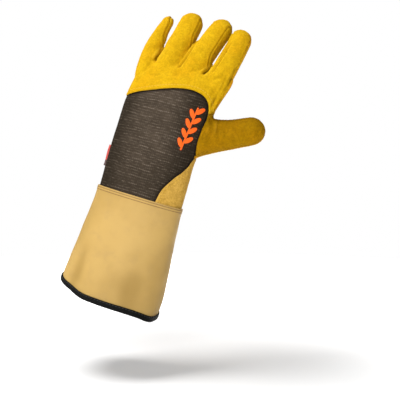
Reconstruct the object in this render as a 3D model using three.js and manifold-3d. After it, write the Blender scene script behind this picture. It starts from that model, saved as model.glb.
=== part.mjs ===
// A long leather gauntlet for pruning roses, for the left hand, open and filled out as a hand fills it.
// Millimetres. +Z runs from the cuff's mouth to the fingertips, -Y faces the back of the hand and +X
// is the thumb's side. The origin is the middle of the cuff's mouth, where the hand goes in.
import * as THREE from "three";
import { mergeVertices } from "three/addons/utils/BufferGeometryUtils.js";
import Module from "manifold-3d";

const wasm = await Module();
wasm.setup();

// Driving dimensions
const cuffLength = 133; // from the mouth to the cuff's top edge
const mouthWidth = 132; // outside of the cuff at its mouth
const mouthDepth = 86;
const cuffWall = 1.6;
const hemHeight = 5; // turned top edge of the cuff
const hemRise = 0.4;
const cuffOverlap = 11; // how far the hand's leather runs down inside the cuff
const bindingHeight = 7; // tape folded over the cuff's lower edge
const bindingWall = 1.1;
const mouthDrop = 7; // how far the mouth's edge hangs below its middle on the thumb's side
const palmLength = 171; // from the cuff's top edge to the webs between the fingers
const palmWidth = 114;
const palmDepth = 52;
const suedeWall = 1.8;
const seamGap = 0.3; // clearance between two pieces at a seam, and between layers
const fingerBow = 13; // how far the fingertips bend towards the palm
const seamTurn = 3; // degrees that the side seams turn towards the back on the thumb's side
const forkWidth = 13; // strip that lines the facing sides of two fingers
const frontDrop = 9; // how far the seam under the ring and middle fingers dips below the webs
const stripWidth = palmWidth * 0.237; // the thumb's strip on the palm, at the cuff
const labelLength = 27;
const labelReach = 6.5;
const labelThickness = 1.4;
const labelHeight = 38; // from the cuff's top edge to the middle of the label
const sprigLength = 56;
const sprigThickness = 0.6;
const sprigTurn = 6.5; // degrees from +Z towards the thumb
const leafTilt = 36; // degrees between a leaf and the stem
const leafPairs = 4;

// Facets of the outside, of the hollow and of the cuff
const outer = { fingerFacets: 16, bodyFacets: 36, tipRings: 4 };
const inner = { fingerFacets: 12, bodyFacets: 28, tipRings: 3 };
const cuffFacets = 36;

// How square a section is: 2 is an ellipse
const bodySquareness = 2.25;
const fingerSquareness = 2.3;

// Sections of the hand from the cuff up: at is a share of palmLength, middle and width of palmWidth,
// back and front of palmDepth, counted from the plane Y = 0.
const palmRows = [
  { at: -0.2, middle: 0.012, width: 0.955, back: 0.52, front: 0.52 },
  { at: 0, middle: 0.012, width: 0.955, back: 0.52, front: 0.52 },
  { at: 0.19, middle: 0.011, width: 0.962, back: 0.505, front: 0.515 },
  { at: 0.34, middle: 0.01, width: 0.96, back: 0.49, front: 0.51 },
  { at: 0.46, middle: 0.014, width: 0.962, back: 0.475, front: 0.51 },
  { at: 0.6, middle: 0.033, width: 0.992, back: 0.455, front: 0.49 },
  { at: 0.72, middle: 0.049, width: 1.006, back: 0.425, front: 0.46 },
  { at: 0.83, middle: 0.09, width: 1.03, back: 0.37, front: 0.405 },
  { at: 0.91, middle: 0.13, width: 1.025, back: 0.29, front: 0.34 },
  { at: 0.965, middle: 0.145, width: 1.01, back: 0.2, front: 0.26 },
  { at: 1, middle: 0.15, width: 0.95, back: 0.06, front: 0.13 },
];

// Sections of a finger from root to tip: at is a share of its length, width and depth of its own.
const fingerRows = [
  { at: 0, width: 0.8, depth: 0.8 },
  { at: 0.18, width: 1.02, depth: 1 },
  { at: 0.36, width: 1.04, depth: 1.03 },
  { at: 0.55, width: 1, depth: 1 },
  { at: 0.78, width: 0.97, depth: 0.95 },
  { at: 1, width: 0.93, depth: 0.9 },
];
const thumbRows = [
  { at: 0, width: 1.5, depth: 1.3 },
  { at: 0.24, width: 1.17, depth: 1.15 },
  { at: 0.5, width: 0.98, depth: 1 },
  { at: 0.8, width: 0.94, depth: 0.94 },
  { at: 1, width: 0.89, depth: 0.86 },
];

// Fingers: across is a share of palmWidth and up one of palmLength, at the root. lean and tipLean are
// the angles from +Z towards the thumb at the root and the tip. taper is how much of its width the
// finger loses towards its tip.
const fingers = {
  pinky: {
    across: -0.326, up: 0.76, length: 97, width: 22.4, depth: 21.5, lean: -6, tipLean: 15, taper: 0.36,
  },
  ring: {
    across: -0.167, up: 0.81, length: 100, width: 29.6, depth: 26, lean: 18, tipLean: 5, taper: 0.03,
  },
  middle: {
    across: 0.094, up: 0.8, length: 103.5, width: 28.8, depth: 27, lean: 19.5, tipLean: 16.5, taper: 0.05,
  },
  index: {
    across: 0.409, up: 0.755, length: 100, width: 27.8, depth: 26, lean: 20.5, tipLean: 4.5, taper: 0.03,
  },
};
const thumb = {
  across: 0.386, up: 0.52, length: 86.5, width: 36, depth: 30, lean: 77, tipLean: 60, taper: 0.04,
};
const thumbNear = 5; // how far the thumb's root and tip lie towards the palm
const thumbFar = 15;

// Sections of the cuff from the mouth up: at is a share of cuffLength, flare goes from 0, the section
// of the wrist, to 1, that of the mouth.
const cuffRows = [
  { at: 0, flare: 1 },
  { at: 0.14, flare: 0.86 },
  { at: 0.36, flare: 0.62 },
  { at: 0.6, flare: 0.36 },
  { at: 0.8, flare: 0.13 },
  { at: 0.9, flare: 0.02 },
  { at: 0.96, flare: 0 },
];

// Height of the cuff's lower edge: at goes from -1, on the little finger's side, to 1, on the thumb's,
// and rise is a share of mouthDrop.
const mouthRows = [
  { at: -1, rise: 1.4 },
  { at: -0.75, rise: 0.8 },
  { at: -0.5, rise: 0.34 },
  { at: -0.27, rise: -0.03 },
  { at: 0, rise: -0.06 },
  { at: 0.35, rise: -0.06 },
  { at: 0.6, rise: -0.14 },
  { at: 0.8, rise: -0.34 },
  { at: 1, rise: -1 },
];

// Soft dents in the cuff: turn is the angle from +X round to the palm, in degrees, at a share of
// cuffLength, depth is in millimetres, spread in degrees and height a share of cuffLength.
const cuffDents = [
  { turn: 0, at: 0, depth: 4.3, spread: 22, height: 0.1 },
  { turn: 303, at: 0.19, depth: 3.2, spread: 15, height: 0.2 },
  { turn: 236, at: 0.22, depth: 2.6, spread: 11, height: 0.3 },
  { turn: 70, at: 0.28, depth: 3, spread: 18, height: 0.3 },
  { turn: 130, at: 0.5, depth: 1.8, spread: 15, height: 0.26 },
];

// The woven panel on the back, from its top left corner round to its foot: across is a share of
// palmWidth, up one of palmLength.
const panelEdge = [
  { across: -0.7, up: 0.641 },
  { across: -0.475, up: 0.67 },
  { across: -0.19, up: 0.732 },
  { across: 0.09, up: 0.789 },
  { across: 0.29, up: 0.81 },
  { across: 0.42, up: 0.797 },
  { across: 0.494, up: 0.753 },
  { across: 0.516, up: 0.68 },
  { across: 0.508, up: 0.58 },
  { across: 0.497, up: 0.46 },
  { across: 0.487, up: 0.36 },
  { across: 0.455, up: 0.27 },
  { across: 0.37, up: 0.178 },
  { across: 0.3, up: 0.09 },
  { across: 0.272, up: 0 },
];

// The strip below the thumb: width is a share of stripWidth at a share of palmLength above the cuff.
const stripEdge = [
  { up: 0, width: 1 },
  { up: 0.13, width: 0.86 },
  { up: 0.26, width: 0.5 },
];
const stripSide = 0.495; // share of palmWidth, where stripWidth is counted from

// Seam under the ring and middle fingers, from one web to the next: dip is a share of frontDrop.
const frontEdge = [
  { across: 0, dip: 0.22 },
  { across: 0.23, dip: 0.83 },
  { across: 0.5, dip: 1 },
  { across: 0.77, dip: 0.83 },
  { across: 1, dip: 0.22 },
];

// Edge of the strips between the fingers, up to their tongue: at is a share of a finger's length, and
// reach of its width.
const tongueRows = [
  { at: 0, reach: 0 },
  { at: 0.76, reach: 0 },
  { at: 0.93, reach: 0.36 },
];
const webShare = 0.36; // share of a finger's length at which it leaves its neighbour

const radians = THREE.MathUtils.degToRad;
const wristZ = cuffLength;
const handStart = cuffLength - cuffOverlap;
const webZ = wristZ + palmLength;
const far = palmWidth + palmLength; // reach of the cutting volumes
const half = seamGap / 2;
const bowStart = webZ - palmLength / 6; // height at which the fingers start to bend
const bowSpan = fingers.middle.length * 0.9; // height over which they bend by fingerBow

// A closed three.js geometry as a solid that can be joined and cut.
function solid(geometry) {
  const bare = new THREE.BufferGeometry();
  const flat = geometry.index ? geometry.toNonIndexed() : geometry;
  bare.setAttribute("position", flat.getAttribute("position"));
  const merged = mergeVertices(bare, 1e-4);
  return new wasm.Manifold(
    new wasm.Mesh({
      numProp: 3,
      vertProperties: merged.attributes.position.array,
      triVerts: new Uint32Array(merged.index.array),
    }),
  );
}

// A solid through rings of equally many points, closed by a fan at each end. tip is the last fan's middle.
function loft(rings, tip) {
  const sides = rings[0].length;
  const points = rings.flat();
  const faces = [];
  const centre = (ring) =>
    ring.reduce((sum, p) => sum.add(p), new THREE.Vector3()).divideScalar(ring.length);
  const start = points.push(centre(rings[0])) - 1;
  const end = points.push(tip ?? centre(rings.at(-1))) - 1;
  const last = (rings.length - 1) * sides;
  for (let j = 0; j < sides; j++) {
    const k = (j + 1) % sides;
    for (let i = 0; i < last; i += sides) {
      faces.push(i + j, i + k, i + sides + k, i + j, i + sides + k, i + sides + j);
    }
    faces.push(start, k, j, end, last + j, last + k);
  }
  const geometry = new THREE.BufferGeometry().setFromPoints(points).setIndex(faces);
  return solid(geometry);
}

// One point of a rounded section. squareness 2 gives an ellipse.
function sectionPoint(turn, squareness) {
  const power = 2 / squareness;
  const c = Math.cos(turn);
  const s = Math.sin(turn);
  return [Math.sign(c) * Math.abs(c) ** power, Math.sign(s) * Math.abs(s) ** power];
}

// The row of a table at a share, with every column read between the rows on either side.
function rowAt(rows, share) {
  const above = rows.findIndex((row) => row.at > share);
  if (above === 0) return rows[0];
  if (above < 0) return rows.at(-1);
  const [a, b] = [rows[above - 1], rows[above]];
  const t = (share - a.at) / (b.at - a.at);
  const columns = Object.keys(a).map((key) => [key, THREE.MathUtils.lerp(a[key], b[key], t)]);
  return Object.fromEntries(columns);
}

// How far the hand's middle line lies towards the palm at a height: the fingers bow together.
function bowAt(z) {
  const t = Math.max(0, (z - bowStart) / bowSpan);
  return fingerBow * t * t;
}

// The middle line of a finger or the thumb, in equal steps.
const pathSteps = 24;
function fingerPath(finger, depthAt) {
  const path = [new THREE.Vector3(finger.across * palmWidth, 0, wristZ + finger.up * palmLength)];
  for (let i = 0; i < pathSteps; i++) {
    const lean = radians(THREE.MathUtils.lerp(finger.lean, finger.tipLean, (i + 0.5) / pathSteps));
    const step = new THREE.Vector3(Math.sin(lean), 0, Math.cos(lean));
    path.push(path[i].clone().addScaledVector(step, finger.length / pathSteps));
  }
  path.forEach((p, i) => (p.y = depthAt(p, i / pathSteps)));
  return new THREE.CatmullRomCurve3(path);
}
for (const finger of Object.values(fingers)) finger.path = fingerPath(finger, (p) => bowAt(p.z));
thumb.path = fingerPath(thumb, (p, share) => THREE.MathUtils.lerp(thumbNear, thumbFar, share));

const taperStart = 0.45; // share of a finger's length

// A round-tipped tube along a finger's path. grow moves its surface outwards.
function fingerSolid(finger, rows, grow, facets) {
  const cap = (finger.width * rows.at(-1).width * (1 - finger.taper / 2)) / 2;
  const capShare = cap / finger.length;
  const stations = rows
    .filter((row) => row.at < 1 - capShare)
    .map((row) => ({ share: row.at, size: 1, push: 0 }));
  for (let i = 0; i < facets.tipRings; i++) {
    const a = (i / facets.tipRings) * (Math.PI / 2);
    stations.push({ share: 1 - capShare + capShare * Math.sin(a), size: Math.cos(a), push: Math.sin(a) });
  }
  const rings = stations.map(({ share, size, push }) => {
    const row = rowAt(rows, share);
    const centre = finger.path.getPointAt(share);
    const along = finger.path.getTangentAt(share);
    const across = new THREE.Vector3(0, 1, 0).cross(along).normalize();
    const deep = along.clone().cross(across);
    const narrow = 1 - finger.taper * THREE.MathUtils.smoothstep(share, taperStart, 1);
    const a = ((finger.width / 2) * row.width * narrow + grow) * size;
    const b = ((finger.depth / 2) * row.depth * narrow + grow) * size;
    return Array.from({ length: facets.fingerFacets }, (_, j) => {
      const [c, s] = sectionPoint(((j + 0.5) / facets.fingerFacets) * 2 * Math.PI, fingerSquareness);
      return centre.clone().addScaledVector(across, a * c).addScaledVector(deep, b * s)
        .addScaledVector(along, grow * push);
    });
  });
  const tip = finger.path.getPointAt(1).addScaledVector(finger.path.getTangentAt(1), grow);
  return loft(rings, tip);
}

// The hand's body without its fingers.
function palmSolid(grow, facets) {
  const rings = palmRows.map((row) => {
    const lift = row.at === 1 ? grow : 0;
    return Array.from({ length: facets.bodyFacets }, (_, j) => {
      const [c, s] = sectionPoint(((j + 0.5) / facets.bodyFacets) * 2 * Math.PI, bodySquareness);
      const deep = (s < 0 ? row.back : row.front) * palmDepth + grow;
      const x = row.middle * palmWidth + c * ((row.width * palmWidth) / 2 + grow);
      const z = wristZ + row.at * palmLength;
      return new THREE.Vector3(x, bowAt(z) + s * deep, z + lift);
    });
  });
  return loft(rings);
}

// The whole hand's outer form, grown or shrunk.
function handForm(grow, facets) {
  const solids = Object.values(fingers).map((finger) => fingerSolid(finger, fingerRows, grow, facets));
  solids.push(fingerSolid(thumb, thumbRows, grow, facets));
  return solids.reduce((sum, next) => sum.add(next), palmSolid(grow, facets));
}

// Moves each point of an outline outwards, across the outline.
function grown(points, amount) {
  const area = THREE.ShapeUtils.area(points);
  const n = points.length;
  return points.map((p, i) => {
    const before = points[(i + n - 1) % n];
    const after = points[(i + 1) % n];
    const along = after.clone().sub(before).normalize();
    const out = new THREE.Vector2(along.y, -along.x).multiplyScalar(Math.sign(area));
    return p.clone().addScaledVector(out, amount);
  });
}

// A solid with an outline in X and Z that runs through the hand from Y = from to Y = to.
function prism(points, from = -far, to = far) {
  const shape = new THREE.Shape(points);
  const geometry = new THREE.ExtrudeGeometry(shape, { depth: to - from, bevelEnabled: false });
  return solid(geometry.rotateX(Math.PI / 2).translate(0, to, 0));
}

// A solid with an outline in Y and Z that runs across the whole hand.
function slab(points) {
  const shape = new THREE.Shape(points);
  const geometry = new THREE.ExtrudeGeometry(shape, { depth: 2 * far, bevelEnabled: false });
  const turned = geometry.rotateX(Math.PI / 2).rotateZ(Math.PI / 2);
  return solid(turned.translate(-far, 0, 0).rotateZ(-radians(seamTurn)));
}

const point = (x, y) => new THREE.Vector2(x, y);
const onPalm = ({ across, up }) => point(across * palmWidth, wristZ + up * palmLength);

// Heights at which the middle surface between back and palm is set.
const bowSteps = 8;
const bowStep = fingers.middle.length / bowSteps;
const levels = Array.from({ length: bowSteps + 1 }, (_, i) => bowStart + i * bowStep);
const middleLine = [point(0, -far), ...levels.map((z) => point(bowAt(z), z)), point(fingerBow, 2 * far)];

// The palm's side of the hand, grown towards the back.
function palmSide(grow) {
  return slab([...middleLine, point(2 * far, 2 * far), point(2 * far, -far)]).translate([0, -grow, 0]);
}

// The layer that the strips between the fingers lie in.
function forkLayer(grow) {
  const reach = forkWidth / 2 + grow;
  const back = middleLine.map((p) => point(p.x - reach, p.y));
  const front = middleLine.map((p) => point(p.x + reach, p.y)).reverse();
  return slab([...back, ...front]);
}

// Where the thumb leaves the hand: its outline as seen from the back.
const thumbAt = (share) => thumb.path.getPointAt(share);
const crotch = onPalm({ across: 0.548, up: 0.705 });
const webFoot = onPalm({ across: 0.47, up: 0.655 });
const thumbFoot = onPalm({ across: 0.44, up: 0.385 });
function thumbZone(grow) {
  const tip = thumbAt(1);
  return prism(grown([
    thumbFoot,
    point(far, thumbFoot.y),
    point(far, tip.z + thumb.width),
    point(crotch.x + thumb.width, tip.z + thumb.width),
    crotch,
    webFoot,
  ], grow));
}

// The thumb's palm half: beyond the slanting plane through the thumb's middle line.
function thumbFront(grow) {
  const root = thumbAt(0);
  const tip = thumbAt(1);
  const slope = (tip.y - root.y) / (tip.x - root.x);
  const at = (x) => point(x, root.y + (x - root.x) * slope - grow);
  const shape = new THREE.Shape([at(0), at(far), point(far, far), point(0, far)]);
  return solid(new THREE.ExtrudeGeometry(shape, { depth: 2 * far, bevelEnabled: false }));
}

// The strip below the thumb that wraps from the back of the hand onto the palm.
function stripZone(grow) {
  const edge = stripEdge.map(({ up, width }) =>
    point(palmWidth * stripSide - stripWidth * width, wristZ + palmLength * up));
  const top = point(thumbFoot.x + 1, thumbFoot.y - 3);
  return prism(grown([point(edge[0].x, -far), ...edge, top, point(far, top.y), point(far, -far)], grow));
}

// Everything that belongs to the palm's leather, grown towards the other pieces.
function palmarZone(grow) {
  const body = palmSide(grow).subtract(thumbZone(-grow));
  const thumbHalf = thumbZone(suedeWall).intersect(thumbFront(grow));
  return body.add(thumbHalf).subtract(stripZone(-grow));
}

// The gap between two neighbouring fingers, out to each finger's middle line.
function forkZone(left, right, grow) {
  const edge = (finger, side) => tongueRows.map(({ at, reach }) => {
    const spot = finger.path.getPointAt(at);
    return point(spot.x + side * finger.width * reach, spot.z);
  });
  const [a, b] = [edge(left, 1), edge(right, -1)];
  const between = a.at(-1).clone().add(b.at(-1)).divideScalar(2);
  return prism(grown([...a, between, ...b.reverse()], grow)).intersect(forkLayer(grow));
}

// The front of one finger, down to the dipping seam at its root.
function frontZone(finger, leftWeb, rightWeb, grow) {
  const seam = frontEdge.map(({ across, dip }) =>
    point(THREE.MathUtils.lerp(leftWeb, rightWeb, across), webZ - frontDrop * dip));
  const end = finger.path.getPointAt(1);
  const top = end.z + finger.width;
  const reach = finger.width * 0.75;
  return prism(grown([...seam, point(end.x + reach, top), point(end.x - reach, top)], grow), 0, far);
}
const webBetween = (a, b) => (a.path.getPointAt(webShare).x + b.path.getPointAt(webShare).x) / 2;

function panelZone(grow) {
  const foot = onPalm(panelEdge.at(-1));
  const edge = new THREE.SplineCurve(panelEdge.map(onPalm)).getPoints(2 * panelEdge.length);
  const outline = [...edge, point(foot.x, -far), point(-far, -far), point(-far, edge[0].y)];
  return prism(grown(outline, grow), -far, thumbNear - 1);
}

// The hand's leather, before it is cut into its pieces.
const outside = handForm(0, outer);
const hollow = handForm(-suedeWall, inner);
const below = prism([point(-far, -far), point(far, -far), point(far, handStart), point(-far, handStart)]);
const leather = outside.subtract(hollow).subtract(below);

const pairs = [["pinky", "ring"], ["ring", "middle"], ["middle", "index"]];
const forks = pairs.map(([a, b]) => leather.intersect(forkZone(fingers[a], fingers[b], -half)));
const unforked = pairs.reduce(
  (rest, [a, b]) => rest.subtract(forkZone(fingers[a], fingers[b], half)),
  leather,
);
const palmar = unforked.intersect(palmarZone(-half));
const dorsal = unforked.subtract(palmarZone(half));

const [webPinky, webRing, webMiddle] = pairs.map(([a, b]) => webBetween(fingers[a], fingers[b]));
const ringFront = (grow) => frontZone(fingers.ring, webPinky, webRing, grow);
const middleFront = (grow) => frontZone(fingers.middle, webRing, webMiddle, grow);
const unpanelled = dorsal.subtract(panelZone(half));
const knuckleFoot = [point(-far, webFoot.y), webFoot, crotch, point(far, crotch.y + far)];
const aboveThumb = (grow) => prism(grown([...knuckleFoot, point(far, 2 * far), point(-far, 2 * far)], grow));

// The section of the cuff at a height, as a function of the turn about Z. out is the distance outside
// the hand's leather, or the mouth's own outline.
function cuffPoint(at, turn, out) {
  const row = rowAt(cuffRows, at);
  const wrist = rowAt(palmRows, 0);
  const [c, s] = sectionPoint(turn, bodySquareness);
  const wristA = (wrist.width * palmWidth) / 2 + seamGap + cuffWall;
  const wristB = (s < 0 ? wrist.back : wrist.front) * palmDepth + seamGap + cuffWall;
  let dent = 0;
  for (const d of cuffDents) {
    const past = THREE.MathUtils.radToDeg(turn) - d.turn;
    const away = THREE.MathUtils.euclideanModulo(past + 180, 360) - 180;
    dent += d.depth * Math.exp(-((away / d.spread) ** 2) - ((at - d.at) / d.height) ** 2);
  }
  const outwards = out - dent * Math.sqrt(row.flare);
  const a = THREE.MathUtils.lerp(wristA, mouthWidth / 2, row.flare) + outwards;
  const b = THREE.MathUtils.lerp(wristB, mouthDepth / 2, row.flare) + outwards;
  const rise = mouthDrop * rowAt(mouthRows, c).rise * Math.max(0, 1 - at * 2);
  const x = wrist.middle * palmWidth * (1 - row.flare) + a * c;
  return new THREE.Vector3(x, b * s, at * cuffLength + rise);
}

// A wall round the cuff: profile is a closed outline of points [out, height above the mouth].
function cuffRing(profile) {
  const sides = cuffFacets;
  const vertices = [];
  const faces = [];
  for (let j = 0; j < sides; j++) {
    for (const [out, height] of profile) {
      const p = cuffPoint(height / cuffLength, ((j + 0.5) / sides) * 2 * Math.PI, out);
      vertices.push(p);
    }
  }
  const n = profile.length;
  for (let j = 0; j < sides; j++) {
    for (let i = 0; i < n; i++) {
      const [a, b] = [j * n + i, j * n + ((i + 1) % n)];
      const [c, d] = [((j + 1) % sides) * n + i, ((j + 1) % sides) * n + ((i + 1) % n)];
      faces.push(a, d, b, a, c, d);
    }
  }
  return solid(new THREE.BufferGeometry().setFromPoints(vertices).setIndex(faces));
}

const cuffFoot = bindingWall + seamGap;
const cuffHeights = cuffRows.map((row) => row.at * cuffLength)
  .filter((z) => z > bindingHeight && z < cuffLength - hemHeight);
function cuffSolid() {
  const front = [cuffFoot, bindingHeight, ...cuffHeights].map((z) => [0, z]);
  const lining = front.map(([, z]) => [-cuffWall, z]).reverse();
  const hem = [
    [0, cuffLength - hemHeight - hemRise], [hemRise, cuffLength - hemHeight], [hemRise, cuffLength],
    [-cuffWall, cuffLength],
  ];
  return cuffRing([...front, ...hem, ...lining]);
}
function bindingSolid() {
  const out = seamGap + bindingWall;
  const inside = -cuffWall - seamGap;
  return cuffRing([
    [out, 0], [out, bindingHeight], [seamGap, bindingHeight], [seamGap, bindingWall],
    [inside, bindingWall], [inside, bindingHeight], [inside - bindingWall, bindingHeight],
    [inside - bindingWall, 0],
  ]);
}

// The folded label, which stands out of the side seam.
function labelSolid() {
  const z = wristZ + labelHeight;
  const row = rowAt(palmRows, labelHeight / palmLength);
  const edge = (row.middle - row.width / 2) * palmWidth;
  const box = new THREE.BoxGeometry(2 * labelReach, labelThickness, labelLength);
  const seamY = Math.tan(radians(seamTurn)) * -edge;
  return solid(box.translate(edge, seamY, z)).subtract(handForm(seamGap, outer));
}

// A plain sprig of leaves on the woven panel, as one thin raised piece.
function sprigSolid() {
  const leafLength = sprigLength / 4.6;
  const leafWidth = leafLength * 0.42;
  const stem = [point(-0.9, 0), point(0.9, 0), point(0.7, sprigLength), point(-0.7, sprigLength)];
  const leaf = (foot, side) => {
    const outline = new THREE.EllipseCurve(0, 0.5, 0.5, 0.5, 0, 2 * Math.PI).getPoints(8).slice(0, -1);
    return outline.map((p) => point(p.x * leafWidth, p.y * leafLength)
      .rotateAround(point(0, 0), -side * radians(leafTilt)).add(point(0, foot)));
  };
  const flats = [stem];
  for (let i = 0; i < leafPairs; i++) {
    const foot = (share) => ((i + share) / (leafPairs + 0.6)) * sprigLength;
    flats.push(leaf(foot(0.35), -1), leaf(foot(0.85), 1));
  }
  const band = handForm(seamGap + sprigThickness, outer).subtract(handForm(seamGap, outer));
  const foot = onPalm({ across: 0.362, up: 0.385 });
  const pieces = flats.map((flat) => {
    const placed = flat.map((p) => p.rotateAround(point(0, 0), -radians(sprigTurn)).add(foot));
    return band.intersect(prism(placed, -far, 0));
  });
  return pieces.reduce((sum, next) => sum.add(next));
}

// Colours and finishes
const suede = () => new THREE.MeshStandardMaterial({ color: 0xd9a312, roughness: 0.95, metalness: 0 });
const finishes = {
  woven: new THREE.MeshStandardMaterial({ color: 0x3b322f, roughness: 0.9, metalness: 0 }),
  smooth: new THREE.MeshStandardMaterial({ color: 0xd6b26a, roughness: 0.6, metalness: 0 }),
  tape: new THREE.MeshStandardMaterial({ color: 0x14120f, roughness: 0.7, metalness: 0 }),
  label: new THREE.MeshStandardMaterial({ color: 0xc62a20, roughness: 0.8, metalness: 0 }),
  print: new THREE.MeshStandardMaterial({ color: 0xf06018, roughness: 0.6, metalness: 0 }),
};

const glove = new THREE.Group();
function addPiece(name, made, material) {
  const mesh = made.getMesh();
  const geometry = new THREE.BufferGeometry();
  const places = [];
  for (let i = 0; i < mesh.vertProperties.length; i += mesh.numProp) {
    places.push(...mesh.vertProperties.subarray(i, i + 3));
  }
  geometry.setAttribute("position", new THREE.Float32BufferAttribute(places, 3));
  geometry.setIndex([...mesh.triVerts]);
  geometry.computeVertexNormals();
  const piece = new THREE.Mesh(geometry, material);
  piece.name = name;
  glove.add(piece);
}

addPiece("palm", palmar.subtract(ringFront(half)).subtract(middleFront(half)), suede());
addPiece("ring_front", palmar.intersect(ringFront(-half)), suede());
addPiece("middle_front", palmar.intersect(middleFront(-half)), suede());
addPiece("back_knuckles", unpanelled.intersect(aboveThumb(-half)), suede());
addPiece("thumb_back", unpanelled.subtract(aboveThumb(half)).subtract(stripZone(half)), suede());
addPiece("thumb_strip", unpanelled.intersect(stripZone(-half)), suede());
pairs.forEach(([a, b], i) => addPiece("fourchette_" + a + "_" + b, forks[i], suede()));
addPiece("back_panel", dorsal.intersect(panelZone(-half)), finishes.woven);
addPiece("cuff", cuffSolid(), finishes.smooth);
addPiece("cuff_binding", bindingSolid(), finishes.tape);
addPiece("side_label", labelSolid(), finishes.label);
addPiece("panel_sprig", sprigSolid(), finishes.print);

export default glove;
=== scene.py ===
"""A long leather gauntlet for pruning roses, for the left hand, above a pale floor.

Lengths are in millimetres until a mesh is made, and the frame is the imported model's: +Z from the
cuff's mouth to the fingertips, -Y out of the back of the hand, +X on the thumb's side.
"""

import math

import bpy
import numpy as np
from mathutils import Matrix, Vector, noise
from mathutils.bvhtree import BVHTree
from mathutils.kdtree import KDTree


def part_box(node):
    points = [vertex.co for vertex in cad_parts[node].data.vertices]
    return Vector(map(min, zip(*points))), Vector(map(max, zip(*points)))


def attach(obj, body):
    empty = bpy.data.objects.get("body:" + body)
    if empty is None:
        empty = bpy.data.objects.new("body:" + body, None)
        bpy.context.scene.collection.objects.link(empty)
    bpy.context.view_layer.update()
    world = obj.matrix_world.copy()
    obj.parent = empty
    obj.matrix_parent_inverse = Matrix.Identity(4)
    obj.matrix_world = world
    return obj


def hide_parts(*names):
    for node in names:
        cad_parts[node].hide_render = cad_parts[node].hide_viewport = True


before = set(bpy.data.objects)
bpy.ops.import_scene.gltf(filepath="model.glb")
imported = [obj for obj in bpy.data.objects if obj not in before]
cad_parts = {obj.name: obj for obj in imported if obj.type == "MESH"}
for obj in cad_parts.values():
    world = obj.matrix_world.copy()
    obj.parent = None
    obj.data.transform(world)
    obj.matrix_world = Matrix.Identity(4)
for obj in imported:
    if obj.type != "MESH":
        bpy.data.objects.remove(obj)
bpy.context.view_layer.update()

MM = 0.001

# Camera: close and level with the wrist, turned and rolled against the glove
CAMERA_YAW = math.radians(16.0)
CAMERA_TILT = math.radians(1.0)
CAMERA_ROLL = math.radians(16.2)
CAMERA_DISTANCE = 680.0
CAMERA_OFFSET = (-112.0, -123.0)  # where the mouth's middle lies in the picture, right and up
CAMERA_LENS = 49.5

# Sizes of the model, in millimetres
WRIST_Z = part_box("cuff")[1].z / MM
MOUTH_WIDTH = 132.0
MOUTH_DEPTH = 86.0
MOUTH_DROP = 7.0
CUFF_WALL = 1.6
HEM_HEIGHT = 5.0
HEM_RISE = 0.4
CUFF_OVERLAP = 11.0
BINDING_HEIGHT = 7.0
BINDING_WALL = 1.1
PALM_LENGTH = 171.0
PALM_WIDTH = 114.0
PALM_DEPTH = 52.0
SEAM_GAP = 0.3
FINGER_BOW = 13.0
SEAM_TURN = math.radians(3.0)
FORK_WIDTH = 13.0
FORK_RISE = 17.0  # height above the web at which the strip between two fingers is at its full width
FRONT_DROP = 9.0
STRIP_WIDTH = PALM_WIDTH * 0.237
THUMB_NEAR = 5.0
THUMB_FAR = 15.0
LABEL_HEIGHT = 38.0
SPRIG_LENGTH = 56.0
WEB_Z = WRIST_Z + PALM_LENGTH
FAR = PALM_WIDTH + PALM_LENGTH

BODY_SQUARENESS = 2.25
FINGER_SQUARENESS = 2.3

# How fine the surface is
VOXEL = 1.0
SKIN_ROUNDS = 10  # rounds of smoothing for the whole skin, then for its corners and the pieces' edges
CORNER_ROUNDS = 40
EDGE_ROUNDS = 34
ISLAND_FACES = 200
BODY_SIDES = 150
FINGER_SIDES = 56
CUFF_SIDES = 264


def table(columns, *rows):
    """Rows with named columns."""
    return [dict(zip(columns.split(), row)) for row in rows]


# Sections of the hand: at is a share of PALM_LENGTH above the cuff, middle and width of PALM_WIDTH,
# back and front of PALM_DEPTH.
PALM_ROWS = table(
    "at middle width back front",
    (-0.2, 0.012, 0.955, 0.52, 0.52),
    (0, 0.012, 0.955, 0.52, 0.52),
    (0.19, 0.011, 0.962, 0.505, 0.515),
    (0.34, 0.01, 0.96, 0.49, 0.51),
    (0.46, 0.014, 0.962, 0.475, 0.51),
    (0.6, 0.033, 0.992, 0.455, 0.49),
    (0.72, 0.049, 1.006, 0.425, 0.46),
    (0.83, 0.09, 1.03, 0.37, 0.405),
    (0.91, 0.13, 1.025, 0.29, 0.34),
    (0.965, 0.145, 1.01, 0.2, 0.26),
    (1, 0.15, 0.95, 0.06, 0.13),
)

# Sections of a finger and of the thumb: shares of its own length, width and depth.
FINGER_ROWS = table(
    "at width depth",
    (0, 0.8, 0.8),
    (0.18, 1.02, 1),
    (0.36, 1.04, 1.03),
    (0.55, 1, 1),
    (0.78, 0.97, 0.95),
    (1, 0.93, 0.9),
)
THUMB_ROWS = table(
    "at width depth",
    (0, 1.5, 1.3),
    (0.24, 1.17, 1.15),
    (0.5, 0.98, 1),
    (0.8, 0.94, 0.94),
    (1, 0.89, 0.86),
)
TAPER_START = 0.45

# across and up place the root, as shares of PALM_WIDTH and PALM_LENGTH. lean and tip_lean are
# degrees from +Z towards the thumb.
*LONG_FINGERS, THUMB = table(
    "name across up length width depth lean tip_lean taper",
    ("pinky", -0.326, 0.76, 97, 22.4, 21.5, -6, 15, 0.36),
    ("ring", -0.167, 0.81, 100, 29.6, 26, 18, 5, 0.03),
    ("middle", 0.094, 0.8, 103.5, 28.8, 27, 19.5, 16.5, 0.05),
    ("index", 0.409, 0.755, 100, 27.8, 26, 20.5, 4.5, 0.03),
    ("thumb", 0.386, 0.52, 86.5, 36, 30, 77, 60, 0.04),
)
FINGERS = {finger["name"]: finger for finger in LONG_FINGERS}

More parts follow.
